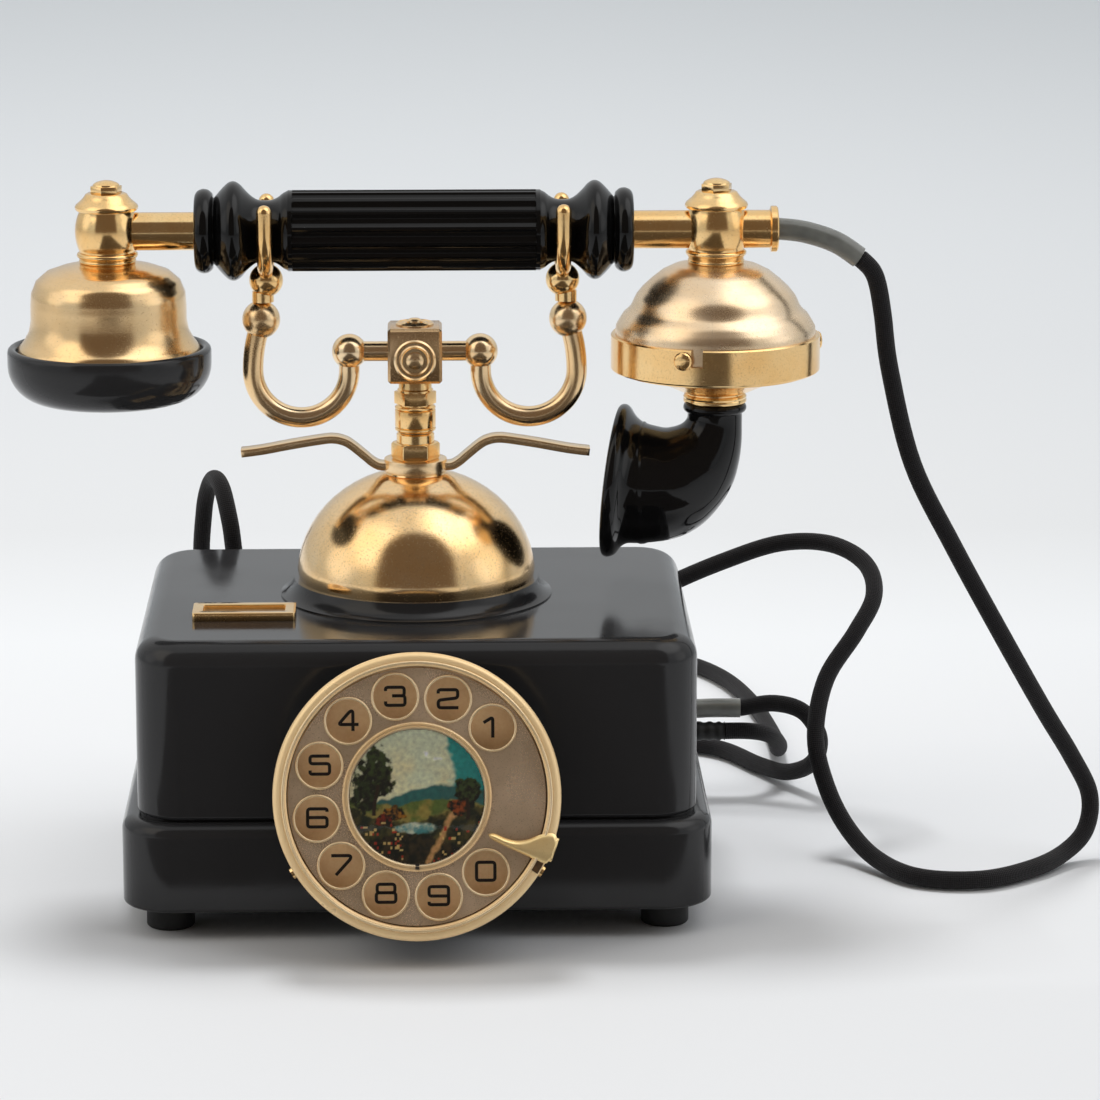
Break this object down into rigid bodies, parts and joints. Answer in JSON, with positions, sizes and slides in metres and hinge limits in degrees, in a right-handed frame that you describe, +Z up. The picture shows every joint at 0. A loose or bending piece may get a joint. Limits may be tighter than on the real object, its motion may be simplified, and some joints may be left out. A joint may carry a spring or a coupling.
{
  "type": "french-style cradle telephone",
  "caption": "Desk telephone with a two-tier housing, a dial, a domed column with a sprung cradle, and a handset with an ear cup and a horn mouthpiece.",
  "frame": {"origin": "on the table, under the middle of the telephone's own box without its cords", "axes": "+Z up, -Y towards the dial side, +X towards the transmitter end of the handset"},
  "size_m": [0.3277, 0.3577, 0.2112],
  "materials": {
    "polished_gold": "polished gold plating",
    "black_lacquer": "gloss black",
    "zinc_steel": "zinc plated",
    "foot_rubber": "matte",
    "card_gold": "satin gold",
    "bezel_gold": "pale satin gold",
    "plate_gold": "matt gold",
    "wheel_gold": "fine-grained gold",
    "gong_brass": "bare brass",
    "coil_copper": "lacquered winding",
    "board_green": "laminate",
    "part_blue": "moulded",
    "switch_brown": "phenolic",
    "cord_braid": "braided black cotton",
    "tie_black": "matt",
    "plug_cream": "moulded",
    "boot_rubber": "matt",
    "sleeve_clear": "clouded vinyl",
    "medallion_print": "printed landscape",
    "lens_clear": "clear",
    "grip_black": "gloss black"
  },
  "bodies": {
    "root": {"base_plinth": "black_lacquer", "base_plate": "zinc_steel", "base_feet": "foot_rubber", "case_screws": "zinc_steel", "upper_housing": "black_lacquer", "dome_collar": "black_lacquer", "dome_bell": "polished_gold", "rest_arms": "polished_gold", "column_nuts": "polished_gold", "column_guide": "polished_gold", "card_frame": "polished_gold", "card_strip": "card_gold", "dial_cup": "black_lacquer", "dial_bezel": "bezel_gold", "dial_screws": "polished_gold", "number_plate": "plate_gold", "finger_stop": "polished_gold", "dial_frame": "zinc_steel", "ringer_gongs": "gong_brass", "ringer_coils": "coil_copper", "ringer_frame": "zinc_steel", "circuit_board": "board_green", "board_parts": "part_blue", "hook_switch": "switch_brown", "contact_springs": "gong_brass", "return_spring": "zinc_steel", "handset_cord": "cord_braid", "line_cord": "cord_braid", "line_coil": "cord_braid", "coil_tie": "tie_black", "line_plug": "plug_cream", "line_boot": "boot_rubber", "cord_sleeve": "sleeve_clear"},
    "finger_wheel_body": {"finger_wheel": "wheel_gold", "medallion_ring": "polished_gold", "medallion_disc": "medallion_print", "medallion_lens": "lens_clear", "dial_gear": "gong_brass"},
    "governor": {"governor_pinion": "zinc_steel"},
    "clapper_body": {"clapper": "zinc_steel"},
    "cradle": {"plunger": "zinc_steel", "barrel": "polished_gold", "cradle_block": "polished_gold", "block_rosettes": "polished_gold", "u_arms": "polished_gold", "forks": "polished_gold"},
    "handset": {"grip": "grip_black", "handset_tube": "polished_gold", "joint_balls": "polished_gold", "joint_caps": "polished_gold", "acorn_nuts": "polished_gold", "receiver_bell": "polished_gold", "ear_cup": "black_lacquer", "transmitter_dome": "polished_gold", "bayonet_ring": "polished_gold", "bayonet_pins": "polished_gold", "transmitter_plate": "polished_gold", "horn": "black_lacquer", "capsules": "zinc_steel", "clear_sleeve": "sleeve_clear"}
  },
  "joints": [
    {"name": "dial_turn", "type": "hinge", "parent": "root", "child": "finger_wheel_body", "pos_m": [-0.00045, -0.07279, 0.04823], "axis": [0, 0.9724, -0.2334], "range_deg": [0, 322], "stiffness_Nm_per_rad": 0.004, "springref_deg": -20.05},
    {"name": "governor_spin", "type": "hinge", "parent": "root", "child": "governor", "pos_m": [-0.00045, -0.0784, 0.0249], "axis": [0, 0.9724, -0.2334], "range_deg": [-1612, 2]},
    {"name": "clapper_swing", "type": "hinge", "parent": "root", "child": "clapper_body", "pos_m": [-0.03345, 0.03126, 0.0382], "axis": [0, 0, 1], "range_deg": [-3, 3], "stiffness_Nm_per_rad": 0.002},
    {"name": "handset_lift", "type": "slide", "parent": "root", "child": "handset", "axis": [0, 0, 1], "range_m": [0, 0.06]},
    {"name": "cradle_lift", "type": "slide", "parent": "root", "child": "cradle", "axis": [0, 0, 1], "range_m": [0, 0.005], "deforming": ["return_spring"]}
  ],
  "couplings": [
    {"joint": "governor_spin", "follows": "dial_turn", "ratio": -5},
    {"joint": "cradle_lift", "follows": "handset_lift", "ratio": 0.083333}
  ]
}
